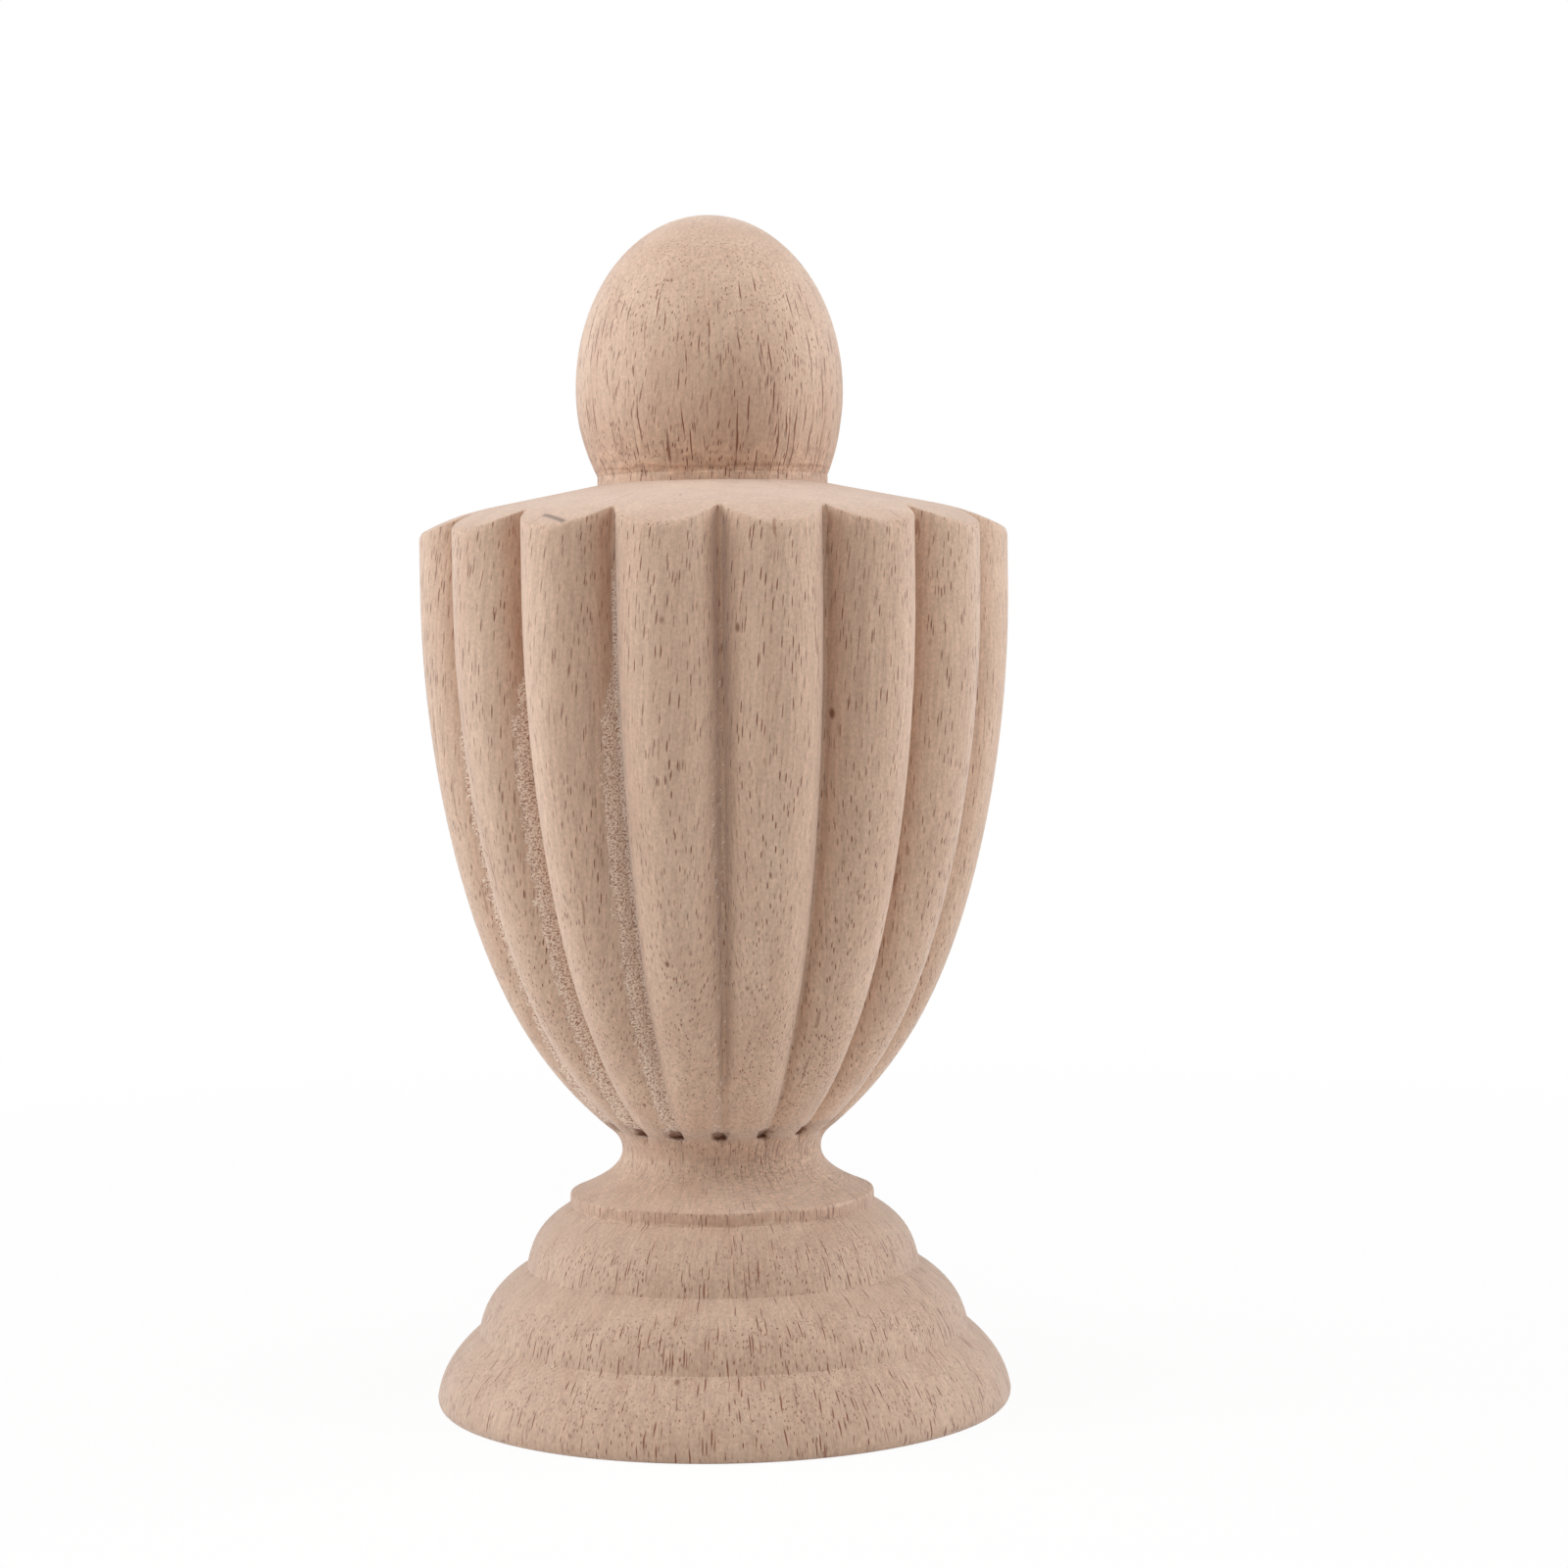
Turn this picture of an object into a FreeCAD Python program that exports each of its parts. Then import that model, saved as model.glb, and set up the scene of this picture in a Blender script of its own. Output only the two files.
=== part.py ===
import FreeCAD
import Part
import math
import os

# Curtain pole finial, turned from one block of bare wood, with reeds carved round its bowl.
# Z is the turning axis, the origin is the middle of the flat foot, and sizes are in millimetres.

# Three stepped round mouldings, from the foot up
lower_radius = 45.0
lower_height = 11.4
lower_bulge = 1.6
middle_radius = 38.4
middle_height = 9.95
middle_bulge = 1.5
upper_radius = 30.85
upper_height = 9.45
upper_bulge = 1.5

# Thin disc on the mouldings
disc_radius = 23.85
disc_thickness = 2.1

# Cove between the disc and the bowl, narrowest at the neck
cove_height = 6.5
cove_flare = 3.1
cove_flare_height = 2.2
neck_radius = 15.6
neck_top_radius = 17.85
neck_top_height = 3.8

# Reeded bowl: the reeds start above the neck and are widest at the rim
bowl_radius = 46.0
bowl_height = 83.8
reed_count = 16
reed_depth = 5.9
reed_inset = 0.15
groove_width = 0.8
rim_share = 0.7
rim_power = 2
neck_power = 7
section_count = 7
section_spread = 1.6

# Domed shoulder over the reeds, from the straight rim up to the collar
rim_rise = 9.45
corner_inset = 1.5
corner_drop = 2.65
corner_bulge = 0.45
shoulder_width = 8.5
shoulder_height = 3.1
dome_height = 3.7

# Collar and egg
collar_radius = 17.7
collar_height = 1.15
egg_step = 0.35
egg_radius = 20.8
egg_lower_height = 13.25
egg_lower_bulge = 0.72
egg_upper_height = 27.0

# Blind hole in the foot for the screw or dowel of the pole
bore_radius = 4.0
bore_depth = 30.0

# How far solids run into each other before they are joined
overlap = 3.0

# Straight steps along each round stretch, which keep the facets few
bead_steps = 4
cove_steps = 7
shoulder_steps = 3
corner_steps = 3
egg_lower_steps = 3
egg_upper_steps = 7
crest_steps = 10

# Heights above the foot
middle_start = lower_height
upper_start = middle_start + middle_height
disc_bottom = upper_start + upper_height
disc_top = disc_bottom + disc_thickness
neck = disc_top + cove_height
reed_start = neck + neck_top_height
rim = reed_start + bowl_height
corner_top = rim + rim_rise
dome_edge = corner_top + shoulder_height
dome_top = dome_edge + dome_height
collar_top = dome_top + collar_height
egg_start = collar_top + egg_step
egg_widest = egg_start + egg_lower_height
egg_top = egg_widest + egg_upper_height


def point(radius, height):
    return FreeCAD.Vector(radius, 0, height)


def line(start, end):
    return Part.LineSegment(start, end).toShape()


def bulged(start, end, bulge):
    """Arc from start to end that stands out from its chord by the bulge."""
    chord = end - start
    outward = FreeCAD.Vector(chord.z, 0, -chord.x)
    outward.normalize()
    middle = (start + end) * 0.5 + outward * bulge
    return Part.Arc(start, middle, end).toShape()


def stepped(edge, steps):
    """Short straight edges along a curved one, so that each turned ring is a plain cone."""
    points = edge.discretize(steps + 1)
    return [line(start, end) for start, end in zip(points, points[1:])]


def turned(edges, bottom, top):
    """Solid turned round the Z axis from edges that meet it at the bottom and top heights."""
    closing = line(point(0, bottom), point(0, top))
    outline = Part.Wire(Part.sortEdges(edges + [closing])[0])
    solid = Part.Face(outline).revolve(FreeCAD.Vector(), FreeCAD.Vector(0, 0, 1), 360)
    if solid.Volume < 0:
        solid.reverse()
    return solid


def foot_and_neck():
    lower = point(lower_radius, 0)
    middle = point(middle_radius, middle_start)
    upper = point(upper_radius, upper_start)
    disc = point(disc_radius, disc_bottom)
    disc_edge = point(disc_radius, disc_top)
    neck_edge = point(neck_top_radius, reed_start)
    cove = Part.BSplineCurve()
    cove.interpolate([
        disc_edge,
        point(neck_radius + cove_flare, disc_top + cove_flare_height),
        point(neck_radius, neck),
        neck_edge,
    ])
    edges = [line(point(0, 0), lower)]
    edges += stepped(bulged(lower, middle, lower_bulge), bead_steps)
    edges += stepped(bulged(middle, upper, middle_bulge), bead_steps)
    edges += stepped(bulged(upper, disc, upper_bulge), bead_steps)
    edges.append(line(disc, disc_edge))
    edges += stepped(cove.toShape(), cove_steps)
    edges.append(line(neck_edge, point(0, reed_start)))
    return turned(edges, 0, reed_start)


def crest_radius(height):
    """Radius of the bowl over the reeds at a height."""
    below = (rim - height) / bowl_height
    curve = rim_share * below ** rim_power + (1 - rim_share) * below ** neck_power
    return bowl_radius - (bowl_radius - neck_top_radius + reed_inset) * curve


def reed_outline(height):
    """Points round all reeds at a height: a round crest and the flat bottom of a groove in turn."""
    crest = crest_radius(height)
    scale = crest / bowl_radius
    half_turn = math.pi / reed_count
    bottom = crest - reed_depth * scale
    side_angle = half_turn - math.atan(groove_width * scale / 2 / bottom)
    side_radius = math.hypot(bottom, groove_width * scale / 2)

    def place(radius, angle):
        return FreeCAD.Vector(radius * math.cos(angle), radius * math.sin(angle), height)

    points = []
    for index in range(reed_count):
        turn = 2 * half_turn * index
        before = place(side_radius, turn - side_angle)
        after = place(side_radius, turn + side_angle)
        points += Part.Arc(before, place(crest, turn), after).toShape().discretize(crest_steps + 1)
    return points


def flat_face(corners):
    return Part.Face(Part.makePolygon(corners + corners[:1]))


def shoulder_envelope():
    """Solid under the domed shoulder, which rounds off the upper ends of the reeds."""
    corner = point(bowl_radius - corner_inset, corner_top)
    edge = point(corner.x - shoulder_width, dome_edge)
    collar = point(collar_radius, dome_top)
    chord = corner - edge
    slope = math.atan2(dome_height, edge.x - collar.x)
    turn = 2 * (math.atan2(-chord.z, chord.x) - slope)
    dome_bulge = chord.Length / 2 * math.tan(turn / 4)
    below_corner = point(bowl_radius + corner_bulge, corner_top - corner_drop)
    outside = bowl_radius + overlap
    edges = [line(point(0, dome_top), collar), line(collar, edge)]
    edges += stepped(bulged(corner, edge, dome_bulge), shoulder_steps)
    edges += stepped(bulged(below_corner, corner, corner_bulge), corner_steps)
    edges.append(line(below_corner, point(outside, below_corner.z)))
    edges.append(line(point(outside, below_corner.z), point(outside, neck)))
    edges.append(line(point(outside, neck), point(0, neck)))
    return turned(edges, neck, dome_top)


def bowl():
    """Reeds that widen up to the rim, then rise straight into the domed shoulder."""
    outlines = []
    for index in range(section_count):
        share = (index / (section_count - 1)) ** section_spread
        outlines.append(reed_outline(reed_start + bowl_height * share))
    rise = FreeCAD.Vector(0, 0, dome_top + overlap - rim)
    outlines.append([corner + rise for corner in outlines[-1]])
    faces = [flat_face(outlines[0]), flat_face(outlines[-1])]
    for below, above in zip(outlines, outlines[1:]):
        for index in range(len(below)):
            faces.append(flat_face([below[index - 1], below[index], above[index], above[index - 1]]))
    reeds = Part.makeSolid(Part.makeShell(faces))
    if reeds.Volume < 0:
        reeds.reverse()
    return reeds.common(shoulder_envelope())


def collar_and_egg():
    inside = dome_edge - overlap
    egg_foot = point(collar_radius + egg_step, egg_start)
    egg_side = point(egg_radius, egg_widest)
    ellipse = Part.Ellipse(point(0, egg_top), egg_side, point(0, egg_widest))
    edges = [
        line(point(0, inside), point(collar_radius, inside)),
        line(point(collar_radius, inside), point(collar_radius, collar_top)),
        line(point(collar_radius, collar_top), egg_foot),
    ]
    edges += stepped(bulged(egg_foot, egg_side, egg_lower_bulge), egg_lower_steps)
    edges += stepped(Part.ArcOfEllipse(ellipse, 0, math.pi / 2).toShape(), egg_upper_steps)
    return turned(edges, inside, egg_top)


def finial():
    body = foot_and_neck().fuse([bowl(), collar_and_egg()])
    return body.cut(Part.makeCylinder(bore_radius, bore_depth))


os.makedirs("parts", exist_ok=True)
shape = finial()
shape.exportStep("parts/finial.step")
box = shape.BoundBox
print("finial", shape.isValid(), len(shape.Solids), round(shape.Volume / 1000, 2), "cm3")
print("size", round(box.XLength, 2), round(box.YLength, 2), round(box.ZLength, 2))
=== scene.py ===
import math
from functools import partial

import bmesh
import bpy
from mathutils import Matrix, Vector, noise


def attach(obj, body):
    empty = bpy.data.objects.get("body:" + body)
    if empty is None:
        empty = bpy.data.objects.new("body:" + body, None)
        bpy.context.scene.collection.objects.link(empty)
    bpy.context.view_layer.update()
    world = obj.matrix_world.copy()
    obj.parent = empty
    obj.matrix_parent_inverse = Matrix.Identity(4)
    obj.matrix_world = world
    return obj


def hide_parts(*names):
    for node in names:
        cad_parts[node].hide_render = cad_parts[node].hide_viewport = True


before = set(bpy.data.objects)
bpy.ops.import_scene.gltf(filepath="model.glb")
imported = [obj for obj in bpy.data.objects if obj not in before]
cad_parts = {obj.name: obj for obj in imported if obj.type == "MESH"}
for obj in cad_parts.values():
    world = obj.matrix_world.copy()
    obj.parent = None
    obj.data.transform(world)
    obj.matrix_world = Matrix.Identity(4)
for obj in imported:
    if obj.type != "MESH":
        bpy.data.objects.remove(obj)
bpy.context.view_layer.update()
mm = 0.001  # sizes below are in millimetres, and the mesh is made metres at the end
print("frame loaded")


# Camera: a close viewpoint in front of the finial, a little above its middle

cameraValues = {
    "imageSize": 1600,
    "distance": 516.0,  # from the turning axis
    "height": 117.1,
    "turn": 10.0,  # degrees round the axis, which puts a reed left of the middle and a groove right of it
    "focalPixels": 3363,
    "yaw": 1.17,  # degrees, so that the finial stands left of the picture's middle
    "pitch": 2.30,
    "roll": -0.74,
    "sensorWidth": 36.0,
    "clipStart": 0.01,  # metres
}


def makeCamera(values):
    yaw = math.radians(values["yaw"])
    pitch = math.radians(values["pitch"])
    roll = math.radians(values["roll"])
    forward = Vector((math.sin(yaw) * math.cos(pitch), math.cos(yaw) * math.cos(pitch), -math.sin(pitch)))
    level = Vector((math.cos(yaw), -math.sin(yaw), 0))
    upright = level.cross(forward)
    right = math.cos(roll) * level + math.sin(roll) * upright
    up = math.cos(roll) * upright - math.sin(roll) * level
    axes = Matrix((right, up, -forward)).transposed().to_4x4()
    eye = Matrix.Translation(Vector((0, -values["distance"], values["height"])) * mm)
    data = bpy.data.cameras.new("camera")
    data.sensor_fit = "HORIZONTAL"
    data.sensor_width = values["sensorWidth"]
    data.lens = data.sensor_width * values["focalPixels"] / values["imageSize"]
    data.clip_start = values["clipStart"]
    camera = bpy.data.objects.new("camera", data)
    bpy.context.scene.collection.objects.link(camera)
    camera.matrix_world = Matrix.Rotation(math.radians(values["turn"]), 4, "Z") @ eye @ axes
    bpy.context.scene.camera = camera


makeCamera(cameraValues)
print("camera placed")


# Finial: one ring of points, extruded row by row up the turning axis, then carved

finialValues = {
    "boreRadius": 4.0,
    "boreDepth": 30.0,
    "boreChamfer": 0.5,
    # radii and heights under the lowest moulding, then each moulding from its bottom to its top
    "footRows": ((16.0, 0.0), (30.0, 0.0), (44.1, 0.0), (44.45, 0.06), (44.7, 0.3), (44.92, 0.8)),
    "lower": {"bottom": (45.0, 1.4), "top": (38.4, 11.4), "straight": 0.25, "power": 2.2},
    "middle": {"bottom": (38.4, 11.4), "top": (30.84, 21.35), "straight": 0.27, "power": 2.6},
    "upper": {"bottom": (30.84, 21.35), "top": (23.85, 30.8), "straight": 0.31, "power": 3.1},
    "mouldingRows": 14,
    "discFoot": 31.1,
    "discTop": 32.9,
    "discRounding": 0.45,
    "discCorner": 0.135,  # what that rounding takes off the edge at its middle
    "neckRadius": 15.6,
    "neckHeight": 39.4,
    "neckTopRadius": 17.85,
    "neckTopHeight": 43.2,
    "covePower": 2.1,  # the higher, the sharper the cove's flare
    "neckPower": 2.3,
    "coveRows": 12,
    "neckRows": 9,
    "reedCount": 16,
    "crestSteps": 18,  # round part of each reed
    "grooveSteps": 6,  # floor of each groove
    "reedDepth": 5.9,
    "grooveWidth": 0.8,
    "grooveHollow": 0.15,
    "reedFade": 0.5,  # share of the reeds' depth that is lost where they run into the neck
    "fadeHeight": 60.0,  # where they start to fade
    "neckBlend": 1.7,  # height below the neck's top over which the rest is lost
    "rimRadius": 46.0,
    "rimHeight": 127.0,
    "bowlCurve": ((0.7, 2), (0.3, 7)),  # shares and powers of the fall from the rim to the neck
    "bowlRows": 86,
    "bowlSpread": 1.25,  # rows are closer near the neck
    "wallRows": 7,
    # pits, where the cutter stopped at the lower end of each groove
    "pitDepth": 1.3,
    "pitBelow": (-0.45, -0.1),  # heights over the neck's top between which a pit starts
    "pitAbove": (0.4, 1.5),  # and between which it ends
    "pitReach": 2.0,
    "pitSides": (0.55, 1.364),  # distances from its middle between which it ends
    "pitAside": 0.65,  # to the left of each groove's middle
    "pitLumps": 1.3,  # to a millimetre
    "pitRaggedness": 0.6,
    "carved": (42.6, 140.05),  # heights between which the reeds show
    "levelToUpright": (0.92, 0.35),  # normal's Z where the surface counts as level and as upright
    "tornFrom": -60.0,  # degrees from the front to the middle of the side where the cutter tore the grain
    "tornSide": (0.2, 0.85),  # cosines between which the tearing grows
    "tornWidths": (0.45, 2.2),  # beside a groove, at the rim and lower down
    "tornWidening": (0.1, 0.3),  # share of the way from the rim to the neck
    "tornTop": (-0.12, 0.05),  # the same share, over which the tearing starts
    "tornEdge": (1.4, 0.5),  # times the width, where the tearing ends and where it is full
    "flankDepths": (0.35, 0.75),  # of a groove, between which its flank is more and more rubbed
    "flankFade": (0.32, 0.02),  # share of the way from the rim to the neck
    "streaksFrom": 75.0,  # degrees from the front to the middle of the side with the most streaks
    "streaksSide": (-0.2, 0.5),  # cosines between which the streaks grow
    "streaksElsewhere": {"egg": 0.9, "mouldings": 0.65},  # on upright surfaces away from that side
    "streaksOnLevel": (0.45, 0.15),  # where the surface is level, on that side and elsewhere
    "streaksFade": (176.0, 166.0),  # heights on the egg over which they give way to plain end grain
    "raggedEgg": (5.0, 2.0),  # heights over the egg's foot between which the ridges grow
    "raggedCove": (0.35, 0.55),  # all round, and more on the side with the most streaks
    "raggedBowl": 0.5,
    "raggedFrom": (0.78, 0.95),  # share of the way from the rim to the neck
    "domeInsets": (0.06, 0.16, 0.32, 0.6, 1.0, 1.5, 2.2, 3.2, 4.6, 6.5),
    "rimDrop": 0.25,  # softens the edge of the shoulder
    "rimReach": 0.32,
    # dome, bend and round corner over the reeds, as radii and heights
    "shoulder": {
        "edge": (36.0, 139.55),
        "slope": 11.4,  # degrees, inside the edge
        "bend": 35.2,
        "bendStretch": 1.067,
        "bendEnd": 44.99,
        "corner": (44.2, 134.58),
        "rounding": 1.8,
    },
    "domeRows": 6,
    "collarRadius": 17.95,
    "collarTop": 144.35,
    "eggGroove": (17.87, 144.47),
    "eggFoot": (18.0, 144.75),
    "eggWidest": (20.8, 158.0),
    "eggLowerBulge": 0.72,
    "eggLowerRows": 18,
    "eggUpperRows": 26,
    "eggTop": 185.0,
    "eggShift": 0.3,  # to the photograph's left
    "eggShiftRise": 8.0,  # height over the egg's foot by which the shift is full
    "sharpAngle": 27.0,  # edges that turn more than this stay crisp
    "weld": 0.0005,  # points closer than this become one
}


def smoothStep(low, high, value):
    share = min(1.0, max(0.0, (value - low) / (high - low)))
    return share * share * (3 - 2 * share)


def arcPoint(start, end, bulge, share):  # point on an arc that stands out from its upward chord
    start, end = Vector(start), Vector(end)
    chord = end - start
    radius = (chord.length ** 2 / 4 + bulge ** 2) / (2 * bulge)
    outward = Vector((chord.y, -chord.x)).normalized()
    centre = (start + end) / 2 - outward * (radius - bulge)
    half = math.asin(chord.length / 2 / radius)
    spread = half * (2 * share - 1)
    return centre + radius * (outward * math.cos(spread) + chord.normalized() * math.sin(spread))


def mouldingPoint(moulding, share):  # starts upright and rolls over towards its top
    (bottomRadius, bottom), (topRadius, top) = moulding["bottom"], moulding["top"]
    fall = moulding["straight"] * share + (1 - moulding["straight"]) * share ** moulding["power"]
    return bottomRadius - (bottomRadius - topRadius) * fall, bottom + (top - bottom) * share


def crestRadius(height, values):  # over the reeds
    span = values["rimHeight"] - values["neckTopHeight"]
    below = max(0.0, (values["rimHeight"] - height) / span)
    fall = sum(share * below ** power for share, power in values["bowlCurve"])
    return values["rimRadius"] - (values["rimRadius"] - values["neckTopRadius"]) * fall


def shoulderHeight(radius, shoulder):  # domed top that rounds off the reeds
    edgeRadius, edgeHeight = shoulder["edge"]
    slope = math.radians(shoulder["slope"])
    if radius < edgeRadius:
        return edgeHeight + (edgeRadius - radius) * math.tan(slope)
    if radius < shoulder["bendEnd"]:
        steeper = math.asin(math.sin(slope) + (radius - edgeRadius) / shoulder["bend"])
        fall = shoulder["bend"] * (math.cos(slope) - math.cos(steeper))
        return edgeHeight - shoulder["bendStretch"] * fall
    centreRadius, centreHeight = shoulder["corner"]
    aside = min(radius - centreRadius, shoulder["rounding"])
    return centreHeight + math.sqrt(shoulder["rounding"] ** 2 - aside ** 2)


def reedColumns(values):  # angles of a reed's points, over its arc and across the next groove, and the arc
    pitch = 2 * math.pi / values["reedCount"]
    floor = values["rimRadius"] - values["reedDepth"]
    grooveHalf = math.atan(values["grooveWidth"] / 2 / floor)
    side = Vector((math.cos(pitch / 2 - grooveHalf), math.sin(pitch / 2 - grooveHalf))) * floor
    reach = values["rimRadius"] - side.x
    rounding = (reach ** 2 + side.y ** 2) / (2 * reach)
    centre = values["rimRadius"] - rounding
    sweep = math.atan2(side.y, side.x - centre)
    angles = []
    for step in range(values["crestSteps"] + 1):
        turn = sweep * (2 * step / values["crestSteps"] - 1)
        angles.append(math.atan2(rounding * math.sin(turn), centre + rounding * math.cos(turn)))
    for step in range(1, values["grooveSteps"]):
        angles.append(pitch / 2 - grooveHalf + 2 * grooveHalf * step / values["grooveSteps"])
    return angles, centre, rounding, grooveHalf


def reedShare(angle, values, reed):  # radius over the reeds as a share of the crest's
    _, centre, rounding, grooveHalf = reed
    pitch = 2 * math.pi / values["reedCount"]
    fromCrest = abs((angle + pitch / 2) % pitch - pitch / 2)
    fromGroove = pitch / 2 - fromCrest
    if fromGroove > grooveHalf:
        aside = centre * math.sin(fromCrest)
        return (centre * math.cos(fromCrest) + math.sqrt(rounding ** 2 - aside ** 2)) / values["rimRadius"]
    hollow = values["grooveHollow"] * (1 - (fromGroove / grooveHalf) ** 2)
    return (values["rimRadius"] - values["reedDepth"] - hollow) / values["rimRadius"]


def reedAmount(height, values):  # the reeds fade out towards the neck, and over its top
    neckTop = values["neckTopHeight"]
    if height < neckTop:
        return (1 - values["reedFade"]) * smoothStep(neckTop - values["neckBlend"], neckTop, height)
    return 1 - values["reedFade"] * smoothStep(values["fadeHeight"], neckTop, height)


def extrudeRing(shape, ring, place):  # next row of points, each put where place says for its angle
    grown = bmesh.ops.extrude_edge_only(shape, edges=ring)["geom"]
    points = {item for item in grown if isinstance(item, bmesh.types.BMVert)}
    for vert in points:
        angle = math.atan2(vert.co.y, vert.co.x)
        radius, height = place(angle)
        vert.co = (radius * math.cos(angle), radius * math.sin(angle), height)
    return [item for item in grown if isinstance(item, bmesh.types.BMEdge) and set(item.verts) <= points]


def turnedRows(values):  # (radius, height) of the plain turned rows below the reeds
    rows = [(values["boreRadius"], values["boreChamfer"])]
    rows.append((values["boreRadius"] + values["boreChamfer"], 0))
    rows += values["footRows"]
    for name in ("lower", "middle", "upper"):
        first = 0 if name == "lower" else 1
        for step in range(first, values["mouldingRows"] + 1):
            rows.append(mouldingPoint(values[name], step / values["mouldingRows"]))
    discRadius = values["upper"]["top"][0]
    rounding = values["discRounding"]
    corner = values["discCorner"]
    rows += [(discRadius, values["discFoot"]), (discRadius, values["discTop"] - rounding)]
    rows.append((discRadius - corner, values["discTop"] - corner))
    coveDepth = values["neckHeight"] - values["discTop"]
    coveWidth = discRadius - rounding - values["neckRadius"]
    for step in range(values["coveRows"]):
        below = 1 - step / values["coveRows"]
        flare = coveWidth * below ** values["covePower"]
        rows.append((values["neckRadius"] + flare, values["neckHeight"] - coveDepth * below))
    return rows


def neckRows(values):
    rows = []
    for step in range(values["neckRows"]):
        above = step / values["neckRows"]
        flare = (values["neckTopRadius"] - values["neckRadius"]) * above ** values["neckPower"]
        rise = (values["neckTopHeight"] - values["neckHeight"]) * above
        rows.append((values["neckRadius"] + flare, values["neckHeight"] + rise))
    return rows


def eggRows(values):
    rows = [(values["collarRadius"], values["collarTop"]), values["eggGroove"]]
    for step in range(values["eggLowerRows"] + 1):
        share = step / values["eggLowerRows"]
        rows.append(arcPoint(values["eggFoot"], values["eggWidest"], values["eggLowerBulge"], share))
    widest, widestHeight = values["eggWidest"]
    rise = values["eggTop"] - widestHeight
    for step in range(1, values["eggUpperRows"] + 1):
        turn = math.pi / 2 * step / values["eggUpperRows"]
        rows.append((widest * math.cos(turn), widestHeight + rise * math.sin(turn)))
    return rows


def turnedMarks(vert, marks, values, side, upright):  # streaks and ridges on the mouldings, cove and egg
    height = vert.co.z
    onEgg = height > values["collarTop"]
    elsewhere = values["streaksElsewhere"]["egg" if onEgg else "mouldings"]
    onLevel, least = values["streaksOnLevel"]
    share = max(side * (onLevel + (1 - onLevel) * upright), elsewhere * upright, least)
    vert[marks["streaked"]] = share * smoothStep(*values["streaksFade"], height)
    if onEgg:
        vert[marks["ragged"]] = smoothStep(*values["raggedEgg"], height - values["eggFoot"][1])
    elif height > values["discTop"]:
        everywhere, more = values["raggedCove"]
        vert[marks["ragged"]] = everywhere + more * side


def sinkPit(vert, marks, values, aside):  # a pit at the lower end of the groove that the point is beside
    rise = vert.co.z - values["neckTopHeight"]
    ragged = 1 + values["pitRaggedness"] * noise.noise(vert.co * values["pitLumps"])
    share = smoothStep(*values["pitBelow"], rise) * (1 - smoothStep(*values["pitAbove"], rise * ragged))
    share *= 1 - smoothStep(*values["pitSides"], abs(aside + values["pitAside"]) * ragged)
    vert[marks["pit"]] = share
    outward = Vector((vert.co.x, vert.co.y, 0)).normalized()
    vert.co -= outward * values["pitDepth"] * share * ragged


def carveMarks(shape, values):  # what the cutter left, as shapes and as marks for the material
    pitch = 2 * math.pi / values["reedCount"]
    front = math.radians(cameraValues["turn"] - 90)
    tornMiddle = front + math.radians(values["tornFrom"])
    streaksMiddle = front + math.radians(values["streaksFrom"])
    names = ("torn", "flank", "pit", "upright", "streaked", "ragged")
    marks = {name: shape.verts.layers.float.new(name) for name in names}
    shape.normal_update()
    for vert in shape.verts:
        height = vert.co.z
        radius = math.hypot(vert.co.x, vert.co.y)
        angle = math.atan2(vert.co.y, vert.co.x)
        upright = smoothStep(*values["levelToUpright"], abs(vert.normal.z))
        vert[marks["upright"]] = upright
        if height < values["neckTopHeight"] or height > values["collarTop"]:
            side = smoothStep(*values["streaksSide"], math.cos(angle - streaksMiddle))
            turnedMarks(vert, marks, values, side, upright)
        bottom, top = values["carved"]
        if not bottom < height < top:
            continue
        crest = crestRadius(height, values)
        fromCrest = (angle + pitch / 2) % pitch - pitch / 2  # positive on the side that faces right in front
        fromGroove = pitch / 2 - abs(fromCrest)
        depth = min(1.0, (crest - radius) / (values["reedDepth"] * crest / values["rimRadius"]))
        below = (values["rimHeight"] - height) / (values["rimHeight"] - values["neckTopHeight"])
        width, wide = values["tornWidths"]
        if fromCrest > 0:
            width += (wide - width) * smoothStep(*values["tornWidening"], below)
            rubbed = smoothStep(*values["flankDepths"], depth) * smoothStep(*values["flankFade"], below)
            vert[marks["flank"]] = rubbed * upright
        tearing = smoothStep(*values["tornSide"], math.cos(angle - tornMiddle))
        tearing *= smoothStep(*values["tornEdge"], fromGroove * radius / width)
        vert[marks["torn"]] = tearing * smoothStep(*values["tornTop"], below)
        vert[marks["ragged"]] = values["raggedBowl"] * smoothStep(*values["raggedFrom"], below)
        if height - values["neckTopHeight"] < values["pitReach"]:
            sinkPit(vert, marks, values, (fromCrest - math.copysign(pitch / 2, fromCrest)) * radius)


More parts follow.
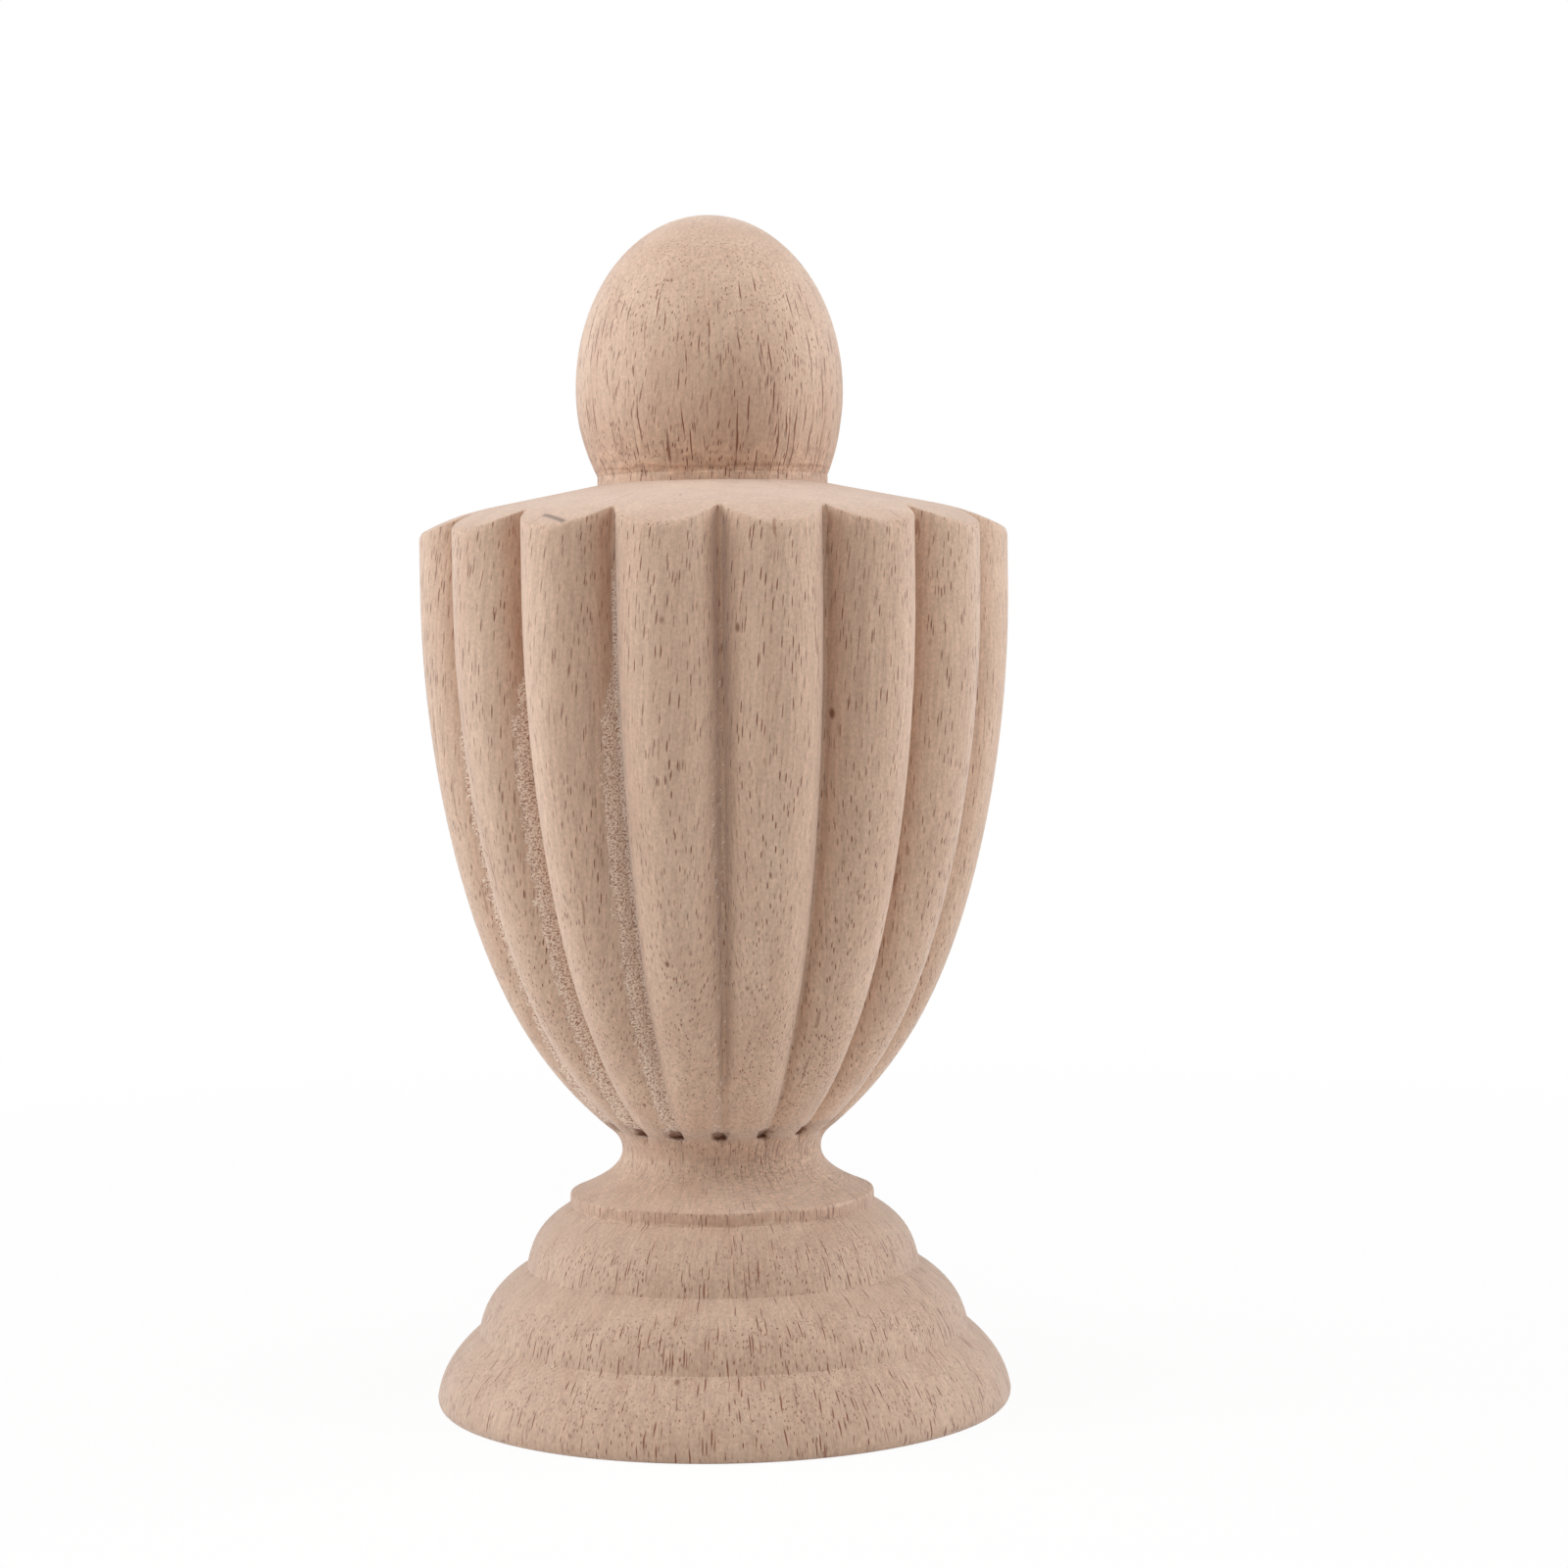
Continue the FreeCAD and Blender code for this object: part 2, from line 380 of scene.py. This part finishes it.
def makeFinial(values):
    reed = reedColumns(values)
    pitch = 2 * math.pi / values["reedCount"]
    shape = bmesh.new()
    columns = values["reedCount"] * (values["crestSteps"] + values["grooveSteps"])
    circle = bmesh.ops.create_circle(shape, cap_ends=True, radius=1, segments=columns)["verts"]
    angles = [index * pitch + angle for index in range(values["reedCount"]) for angle in reed[0]]
    for vert, angle in zip(circle, angles):
        vert.co = Vector((math.cos(angle), math.sin(angle), 0)) * values["boreRadius"]
        vert.co.z = values["boreDepth"]
    ring = list(shape.edges)
    for row in turnedRows(values):
        ring = extrudeRing(shape, ring, lambda angle: row)

    def onReeds(crest, height):
        amount = reedAmount(height, values)
        return lambda angle: (crest * (1 - amount * (1 - reedShare(angle, values, reed))), height)

    def onWall(share):
        def place(angle):
            radius = values["rimRadius"] * reedShare(angle, values, reed)
            top = shoulderHeight(radius, values["shoulder"]) - values["rimDrop"]
            return radius, values["rimHeight"] + (top - values["rimHeight"]) * share
        return place

    def onShoulder(inset):
        def place(angle):
            radius = values["rimRadius"] * reedShare(angle, values, reed) - inset
            soften = max(0.0, 1 - inset / values["rimReach"])
            return radius, shoulderHeight(radius, values["shoulder"]) - values["rimDrop"] * soften ** 2
        return place

    def onDome(share):
        def place(angle):
            wall = values["rimRadius"] * reedShare(angle, values, reed) - values["domeInsets"][-1]
            radius = wall + (values["collarRadius"] - wall) * share
            return radius, shoulderHeight(radius, values["shoulder"])
        return place

    bowlHeight = values["rimHeight"] - values["neckTopHeight"]
    for radius, height in neckRows(values):
        ring = extrudeRing(shape, ring, onReeds(radius, height))
    for row in range(values["bowlRows"] + 1):
        height = values["neckTopHeight"] + bowlHeight * (row / values["bowlRows"]) ** values["bowlSpread"]
        ring = extrudeRing(shape, ring, onReeds(crestRadius(height, values), height))
    for row in range(1, values["wallRows"] + 1):
        ring = extrudeRing(shape, ring, onWall(row / values["wallRows"]))
    for inset in values["domeInsets"]:
        ring = extrudeRing(shape, ring, onShoulder(inset))
    for row in range(1, values["domeRows"] + 1):
        ring = extrudeRing(shape, ring, onDome(row / values["domeRows"]))
    for row in eggRows(values):
        ring = extrudeRing(shape, ring, lambda angle: row)
    bmesh.ops.remove_doubles(shape, verts=shape.verts, dist=values["weld"])
    bmesh.ops.recalc_face_normals(shape, faces=shape.faces)

    carveMarks(shape, values)
    turn = math.radians(cameraValues["turn"])
    left = Vector((-math.cos(turn), -math.sin(turn), 0)) * values["eggShift"]
    for vert in shape.verts:
        rise = vert.co.z - values["eggFoot"][1]
        if rise > 0:
            vert.co += left * min(1.0, rise / values["eggShiftRise"])

    for edge in shape.edges:
        if len(edge.link_faces) == 2 and edge.calc_face_angle(0) > math.radians(values["sharpAngle"]):
            edge.smooth = False
    for face in shape.faces:
        face.smooth = True
    bmesh.ops.scale(shape, vec=(mm, mm, mm), verts=shape.verts)
    data = bpy.data.meshes.new("turnedFinial")
    shape.to_mesh(data)
    shape.free()
    piece = bpy.data.objects.new("turnedFinial", data)
    bpy.context.scene.collection.objects.link(piece)
    return piece


finial = makeFinial(finialValues)
print("finial made:", len(finial.data.vertices), "points")


# Materials

def linear(hexColour):  # sRGB hex to the linear colour that Blender's sockets take
    channels = [int(hexColour[start:start + 2], 16) / 255 for start in (1, 3, 5)]
    return tuple(c / 12.92 if c <= 0.04045 else ((c + 0.055) / 1.055) ** 2.4 for c in channels) + (1.0,)


def addNode(tree, kind, inputs=(), output=0, **settings):  # gives an output socket of the new node
    node = tree.nodes.new("ShaderNode" + kind)
    for name, value in settings.items():
        setattr(node, name, value)
    for name, value in inputs.items() if isinstance(inputs, dict) else enumerate(inputs):
        if isinstance(value, bpy.types.NodeSocket):
            tree.links.new(value, node.inputs[name])
        else:
            node.inputs[name].default_value = value
    return node.outputs[output] if node.outputs else None


woodValues = {
    "light": "#CFB098",  # sanded sapwood
    "deep": "#C5A38B",  # faint pinkish bands
    "pore": "#763408",
    "tornLight": "#FFECDA",
    "tornDark": "#A46C50",
    "burnishAndShade": "#B07E62",  # in the grooves under the rim, where a tool rubbed, and on the darker turned rings, the one at the egg's foot a painted shadow
    "dustAndShade": "#86502A",  # dust in the pits at the grooves' ends, with painted shade in those hollows
    "pin": "#703E1C",
    "nick": "#5A3822",
    "fibreRight": 5.0,  # degrees that the fibres lean to the right, and out towards the front, at the rim
    "fibreOut": 5.0,
    "figureBend": 7.0,  # how far the noises below bend the fibres and the streaks
    "wobbleBend": 1.2,
    # noises: width across a path, length along it, place in the noise, finer layers and their strength
    "noises": {
        "figure": (60.0, 60.0, 0.0, 1, 0.4),  # slow bends of the fibres
        "wobble": (6.0, 6.0, 3.0, 1, 0.4),  # bends of the streaks
        "bands": (4.0, 140.0, 0.0, 3, 0.5),
        "fibres": (0.5, 12.0, 7.0, 3, 0.6),  # bundles, since single fibres are too fine to show
        "turnedFibres": (0.5, 4.0, 61.0, 3, 0.6),
        "grit": (0.45, 0.585, 3.0, 2, 0.7),  # coarser than real sanding grit, so that it shows
        "ridges": (2.6, 0.5, 53.0, 2, 0.6),
        "crowds": (6.0, 40.0, 5.0, 2, 0.5),  # where the vessels gather
        "rubs": (0.8, 20.0, 31.0, 2, 0.6),
        "edges": (1.2, 1.8, 23.0, 3, 0.7),
        "fuzz": (0.33, 0.2475, 19.0, 2, 0.7),  # torn fibre ends, coarser than real ones, so that they show
        "waves": (14.0, 60.0, 71.0, 1, 0.4),
    },
    "noiseSpread": (0.3, 0.7),  # where nearly all of a noise's values lie
    "bandSpread": (0.32, 0.68),
    # vessels, coarser than real ones so that they show: spacing, length, width and place in the pattern
    "dashes": {
        "pores": (0.42, 4.5, 0.25, 11.0),
        "streaks": (0.5, 9.0, 0.28, 43.0),  # torn open along the turned outlines
    },
    "dashCore": 0.6,  # share of a vessel's width that is full
    # patterns round the axis
    "aroundRadii": (42.0, 20.0),  # of the mouldings and the egg
    "eggStretch": 0.5,  # which makes the streaks on the egg longer
    "eggFrom": (43.0, 45.0),  # heights over which the mouldings' patterns change to the egg's
    # tones: shares of the plain colour
    "fibreTones": (0.87, 1.13),
    "gritTones": (0.87, 1.13),
    "ridgeTones": (-0.16, 0.24),  # added where the surface is ragged
    "turnedFrom": 0.15,  # share of streaks from which the fibres follow the turned outline
    "mouldingShade": 0.87,  # painted shade: the mouldings are made a little darker, for the small shadows of their rough surface
    "mouldingShadeTop": (29.0, 32.0),
    # vessels
    "crowdLevels": (0.5, 1.1),
    "poreLevels": (0.3, 1.2),  # of single vessels, by their chance
    "dotsBelow": 0.4,  # share of upright under which the vessels' cut ends show less and less
    "dotLevel": 0.15,
    "streakShare": 0.85,
    "streakLevels": (0.88, 1.08),  # of that share and the chance together, from none to a full streak
    "poreStrength": 0.95,
    # rubbed flanks, torn grain, pits darkened by dust and painted shade, and the ragged edges of these and
    # the rings
    "rubLevels": (0.1, 0.6),
    "edgeLevels": (-0.35, 0.35),
    "tornLevels": (0.5, 0.75),
    "tornSpread": (0.38, 0.54),
    "tornStrength": 0.85,
    "dustAndShadeEdge": 0.4,
    "dustAndShadeLevels": (0.15, 0.6),
    "dustAndShadeStrength": 0.95,
    "waveLevels": (-0.35, 0.35),
    "ringEdge": 0.5,
    # darker turned rings: lowest and highest point, softness and strength
    "rings": (
        (30.95, 32.6, 0.15, 0.26),
        (38.9, 43.3, 0.5, 0.14),
        # painted shadow: a dark line under the egg's foot, where it meets the collar
        (145.1, 145.5, 0.2, 0.34),
    ),
    "pinSquat": 0.65,  # the marks are taller than wide
    "pinCore": 0.4,  # share of a mark's size within which it is full
    # marks: place, size and strength
    "pins": (
        ((10.68, -41.78, 120.68), 0.6, 0.8),
        ((0.42, -45.89, 121.81), 0.5, 0.5),
        ((22.99, -32.97, 108.02), 0.7, 0.9),
        ((-1.19, -36.83, 71.71), 0.45, 0.85),
        ((-7.82, -22.37, 49.01), 0.4, 0.7),
        ((-0.17, -39.19, 10.74), 0.6, 0.7),
        ((8.64, -18.57, 153.88), 9.0, 0.18),  # faint reddish stain on the egg, partly painted shade and dark reflection on its front
    ),
    "nickPlace": ((-17.9, -38.7, 137.35), (-14.5, -42.4, 136.4)),
    "nickWidth": 0.65,
    "nickCore": 0.3,
    "nickStrength": 0.8,
    # shares of the bump's distance by which each pattern stands out or in
    "relief": {
        "grit": 0.3,
        "fibres": 0.4,
        "pores": -0.8,
        "rings": -1.5,
        "nick": -0.8,
        "ridges": 4.0,
        "tears": 2.0,
    },
    "bumpStrength": 0.6,
    "bumpDistance": 0.0002,  # metres
    "refraction": 1.5,
    "roughness": 0.62,
    "sheen": 0.4,  # loose fibre ends catch the light at the edges
}


def makeWood(values):  # rubberwood, turned and sanded but bare: matte, with short dark pores along the fibres
    material = bpy.data.materials.new("bareRubberwood")
    material.use_nodes = True
    tree = material.node_tree
    tree.nodes.clear()
    add = partial(addNode, tree)
    spread = values["noiseSpread"]

    def grain(name, path, output=0):  # noise stretched along a path
        width, length, offset, detail, roughness = values["noises"][name]
        scale = (1 / width, 1 / width, 1 / length)
        place = add("Mapping", {"Vector": path, "Location": (offset,) * 3, "Scale": scale})
        settings = {"Vector": place, "Scale": 1, "Detail": detail, "Roughness": roughness}
        return add("TexNoise", settings, output)

    def dashes(name, path):  # thin cells along a path, and a chance for each cell
        spacing, length, width, offset = values["dashes"][name]
        scale = (1 / spacing, 1 / spacing, 1 / length)
        place = add("Mapping", {"Vector": path, "Location": (offset,) * 3, "Scale": scale})
        cells = add("TexVoronoi", {"Vector": place, "Scale": 1}).node.outputs
        reach = width / 2 / spacing
        inside = add("MapRange", (cells["Distance"], reach, reach * values["dashCore"]))
        return inside, add("SeparateColor", (cells["Color"],))

    # Mix takes its share at 0 and its two colours at 6 and 7
    def paint(colour, hexColour, amount, low=0.0, high=1.0, strength=1.0):  # a colour laid over another
        share = add("MapRange", (amount, low, high, 0.0, strength))
        return add("Mix", {0: share, 6: colour, 7: linear(hexColour)}, 2, data_type="RGBA")

    # millimetres, straightened so that the fibres run along Z
    plain = add("VectorMath", (add("TexCoord", output="Object"), (1 / mm,) * 3), operation="MULTIPLY")
    height = add("SeparateXYZ", (plain,), "Z")
    bend = values["figureBend"]
    figure = grain("figure", plain, "Color")
    bent = add("VectorMath", (figure, (bend, bend, 0), plain), operation="MULTIPLY_ADD")
    turn = math.radians(cameraValues["turn"])
    right = math.tan(math.radians(values["fibreRight"]))
    out = math.tan(math.radians(values["fibreOut"]))
    leanX = right * math.cos(turn) + out * math.sin(turn)
    leanY = right * math.sin(turn) - out * math.cos(turn)
    lean = Vector((leanX, leanY, 0)) / (-2 * finialValues["rimHeight"])
    curve = add("Math", (height, height), operation="MULTIPLY")  # the lean grows with the height
    leaning = add("VectorMath", {0: tuple(lean), "Scale": curve}, operation="SCALE")
    inFibres = add("VectorMath", (bent, leaning), operation="ADD")

    # round the axis, and up by the height less the radius, which grows all along the turned outline
    level = add("VectorMath", (plain, (1, 1, 0)), operation="MULTIPLY")
    radius = add("VectorMath", (level,), "Value", operation="LENGTH")
    slide = add("Math", (height, radius), operation="SUBTRACT")
    stretch = add("MapRange", (height, *values["eggFrom"], 1.0, values["eggStretch"]))
    slide = add("Math", (slide, stretch), operation="MULTIPLY")
    around = add("VectorMath", (level,), operation="NORMALIZE")
    reach = add("MapRange", (height, *values["eggFrom"], *values["aroundRadii"]))
    around = add("VectorMath", {0: around, "Scale": reach}, operation="SCALE")
    onOutline = add("VectorMath", (around, add("CombineXYZ", {"Z": slide})), operation="ADD")
    bend = values["wobbleBend"]
    wobble = grain("wobble", plain, "Color")
    wavy = add("VectorMath", (wobble, (bend, bend, 0), onOutline), operation="MULTIPLY_ADD")

    flank, torn, pit, upright, streaked, ragged = (
        add("Attribute", output="Fac", attribute_name=name)
        for name in ("flank", "torn", "pit", "upright", "streaked", "ragged")
    )

    # bands, fibres, sanding grit, and short ridges round the axis, left by a dull tool
    colour = paint(linear(values["light"]), values["deep"], grain("bands", inFibres), *values["bandSpread"])
    turned = add("MapRange", (streaked, 0.0, values["turnedFrom"]))
    fibres = add("Mix", {0: turned, 2: grain("fibres", inFibres), 3: grain("turnedFibres", wavy)})
    grit = grain("grit", inFibres)
    ridges = add("MapRange", (grain("ridges", onOutline), *spread, *values["ridgeTones"]))
    ridges = add("Math", (ridges, ragged), operation="MULTIPLY")
    # painted shade: the mouldings below the disc are darker
    tone = add("MapRange", (height, *values["mouldingShadeTop"], values["mouldingShade"], 1.0))
    for layer, tones in ((fibres, values["fibreTones"]), (grit, values["gritTones"])):
        tone = add("Math", (tone, add("MapRange", (layer, *spread, *tones))), operation="MULTIPLY")
    tone = add("Math", (tone, ridges), operation="ADD")
    colour = add("Mix", {0: 1.0, 6: colour, 7: add("CombineColor", (tone,) * 3)}, 2,
                 data_type="RGBA", blend_type="MULTIPLY")

    # vessels: long thin cells, which the surface cuts into dashes and dots
    pores, chance = dashes("pores", inFibres)
    strength = add("MapRange", (chance, 0.0, 1.0, *values["poreLevels"]))
    dots = add("MapRange", (upright, 0.0, values["dotsBelow"], values["dotLevel"], 1.0))
    crowd = add("MapRange", (grain("crowds", inFibres), *spread, *values["crowdLevels"]))
    for share in (strength, dots, crowd):
        pores = add("Math", (pores, share), operation="MULTIPLY")
    streaks, chance = dashes("streaks", wavy)
    chosen = add("Math", (streaked, values["streakShare"], chance), operation="MULTIPLY_ADD")
    chosen = add("MapRange", (chosen, *values["streakLevels"]))
    streaks = add("Math", (streaks, chosen), operation="MULTIPLY")
    pores = add("Math", (pores, streaks), operation="MAXIMUM")
    colour = paint(colour, values["pore"], pores, strength=values["poreStrength"])

    # rubbed flanks, torn grain, and pits darkened by dust and painted shade
    rubbed = add("MapRange", (grain("rubs", inFibres), *spread, *values["rubLevels"]))
    colour = paint(colour, values["burnishAndShade"], add("Math", (flank, rubbed), operation="MULTIPLY"))
    edge = add("MapRange", (grain("edges", inFibres), *spread, *values["edgeLevels"]))
    fuzz = grain("fuzz", inFibres)
    tornColour = paint(linear(values["tornDark"]), values["tornLight"], fuzz, *values["tornSpread"])
    tears = add("MapRange", (add("Math", (torn, edge), operation="ADD"), *values["tornLevels"]))
    share = add("Math", (tears, values["tornStrength"]), operation="MULTIPLY")
    colour = add("Mix", {0: share, 6: colour, 7: tornColour}, 2, data_type="RGBA")
    pitDarkening = add("Math", (edge, values["dustAndShadeEdge"], pit), operation="MULTIPLY_ADD")
    colour = paint(colour, values["dustAndShade"], pitDarkening, *values["dustAndShadeLevels"], values["dustAndShadeStrength"])

    # darker turned rings, wavy and ragged along their edges; the one at the egg's foot is a painted shadow
    # line
    wave = add("MapRange", (grain("waves", onOutline), *spread, *values["waveLevels"]))
    wavyHeight = add("Math", (edge, values["ringEdge"], height), operation="MULTIPLY_ADD")
    wavyHeight = add("Math", (wavyHeight, wave), operation="ADD")
    rings = 0.0
    for bottom, top, soft, strength in values["rings"]:
        above = add("MapRange", (wavyHeight, bottom - soft, bottom + soft))
        below = add("MapRange", (wavyHeight, top - soft, top + soft, strength, 0.0))
        rings = add("Math", (above, below, rings), operation="MULTIPLY_ADD")
    colour = add("Mix", {0: rings, 6: colour, 7: linear(values["burnishAndShade"])}, 2,
                 data_type="RGBA", blend_type="MULTIPLY")

    # small dark marks, a large faint one on the egg partly painted shade, and a dent along a short line
    squat = add("VectorMath", (plain, (1, 1, values["pinSquat"])), operation="MULTIPLY")
    for (x, y, z), size, strength in values["pins"]:
        away = add("VectorMath", (squat, (x, y, z * values["pinSquat"])), "Value", operation="DISTANCE")
        colour = paint(colour, values["pin"], away, size, size * values["pinCore"], strength)
    start, finish = (Vector(end) for end in values["nickPlace"])
    run = finish - start
    fromStart = add("VectorMath", (plain, tuple(start)), operation="SUBTRACT")
    along = add("VectorMath", (fromStart, tuple(run)), "Value", operation="DOT_PRODUCT")
    along = add("MapRange", (along, 0.0, run.length_squared))
    nearest = add("VectorMath", {0: tuple(run), "Scale": along}, operation="SCALE")
    away = add("VectorMath", (fromStart, nearest), "Value", operation="DISTANCE")
    nick = add("MapRange", (away, values["nickWidth"], values["nickWidth"] * values["nickCore"]))
    colour = paint(colour, values["nick"], nick, strength=values["nickStrength"])

    layers = {"grit": grit, "fibres": fibres, "pores": pores, "rings": rings, "nick": nick, "ridges": ridges}
    layers["tears"] = add("Math", (tears, fuzz), operation="MULTIPLY")
    relief = 0.0
    for name, share in values["relief"].items():
        relief = add("Math", (layers[name], share, relief), operation="MULTIPLY_ADD")
    bump = add("Bump", {
        "Height": relief, "Strength": values["bumpStrength"], "Distance": values["bumpDistance"],
    })
    shader = add("BsdfPrincipled", {
        "Base Color": colour, "Roughness": values["roughness"], "IOR": values["refraction"],
        "Sheen Weight": values["sheen"], "Normal": bump,
    })
    add("OutputMaterial", {"Surface": shader})
    return material


finial.data.materials.append(makeWood(woodValues))
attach(finial, "root")
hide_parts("finial")
print("wood made")


# Studio: pale floor, white surroundings and large soft lamps at both sides and above

studioValues = {
    "floorColour": "#F8F8F7",
    "floorSize": 8.0,
    "floorGlow": 0.93,  # share of plain white in what the camera sees of the floor, near the finial
    "floorFade": (0.15, 0.5),  # metres from the finial over which that share becomes all
    "surroundings": 0.1,
    "lampAim": 0.095,  # height in metres of the point that the lamps face
    # name: turn from the camera to the left, height above the floor, distance and size in metres, watts
    "lamps": {
        "leftLamp": (88, 20, 0.9, 1.1, 7.9),
        "rightLamp": (-88, 18, 0.9, 1.1, 6.9),
        "topLamp": (0, 70, 0.7, 0.6, 2.6),
    },
}


def whiteRays(tree):  # 1 where the camera, a reflection or a clear material looks
    rays = addNode(tree, "LightPath").node.outputs
    seen = addNode(tree, "Math", (rays["Is Camera Ray"], rays["Is Glossy Ray"]), operation="MAXIMUM")
    return addNode(tree, "Math", (seen, rays["Is Transmission Ray"]), operation="MAXIMUM")


def makeSurroundings(values):
    world = bpy.data.worlds.new("studio")
    bpy.context.scene.world = world
    world.use_nodes = True
    tree = world.node_tree
    tree.nodes.clear()
    lit = addNode(tree, "Background", (linear("#FFFFFF"), values["surroundings"]))
    white = addNode(tree, "Background", (linear("#FFFFFF"), 1.0))
    addNode(tree, "OutputWorld", (addNode(tree, "MixShader", (whiteRays(tree), lit, white)),))


def makeFloor(values):  # uncoated white paper: matte, so it shows a soft shadow and no reflection
    material = bpy.data.materials.new("matteWhitePaper")
    material.use_nodes = True
    tree = material.node_tree
    tree.nodes.clear()
    paper = addNode(tree, "BsdfDiffuse", (linear(values["floorColour"]),))
    white = addNode(tree, "Emission", (linear("#FFFFFF"), 1.0))
    place = addNode(tree, "TexCoord", output="Object")
    away = addNode(tree, "VectorMath", (place,), "Value", operation="LENGTH")
    near, far = values["floorFade"]
    share = addNode(tree, "MapRange", (away, near, far, values["floorGlow"], 1.0),
                    interpolation_type="SMOOTHSTEP")
    glow = addNode(tree, "Math", (whiteRays(tree), share), operation="MULTIPLY")
    addNode(tree, "OutputMaterial", (addNode(tree, "MixShader", (glow, paper, white)),))
    shape = bmesh.new()
    bmesh.ops.create_grid(shape, x_segments=1, y_segments=1, size=values["floorSize"] / 2)
    data = bpy.data.meshes.new("floor")
    shape.to_mesh(data)
    shape.free()
    data.materials.append(material)
    floor = bpy.data.objects.new("floor", data)
    bpy.context.scene.collection.objects.link(floor)


def makeLamps(values):
    middle = Vector((0, 0, values["lampAim"]))
    for name, (turn, rise, distance, size, power) in values["lamps"].items():
        data = bpy.data.lights.new(name, "AREA")
        data.shape = "DISK"
        data.size = size
        data.energy = power
        aside = math.radians(cameraValues["turn"] - 90 - turn)
        level = math.cos(math.radians(rise))
        toward = Vector((math.cos(aside) * level, math.sin(aside) * level, math.sin(math.radians(rise))))
        lamp = bpy.data.objects.new(name, data)
        lamp.location = middle + toward * distance
        lamp.rotation_euler = toward.to_track_quat("Z", "Y").to_euler()
        bpy.context.scene.collection.objects.link(lamp)


makeSurroundings(studioValues)
makeFloor(studioValues)
makeLamps(studioValues)
bpy.context.scene.view_settings.view_transform = "Standard"
print("studio lit")
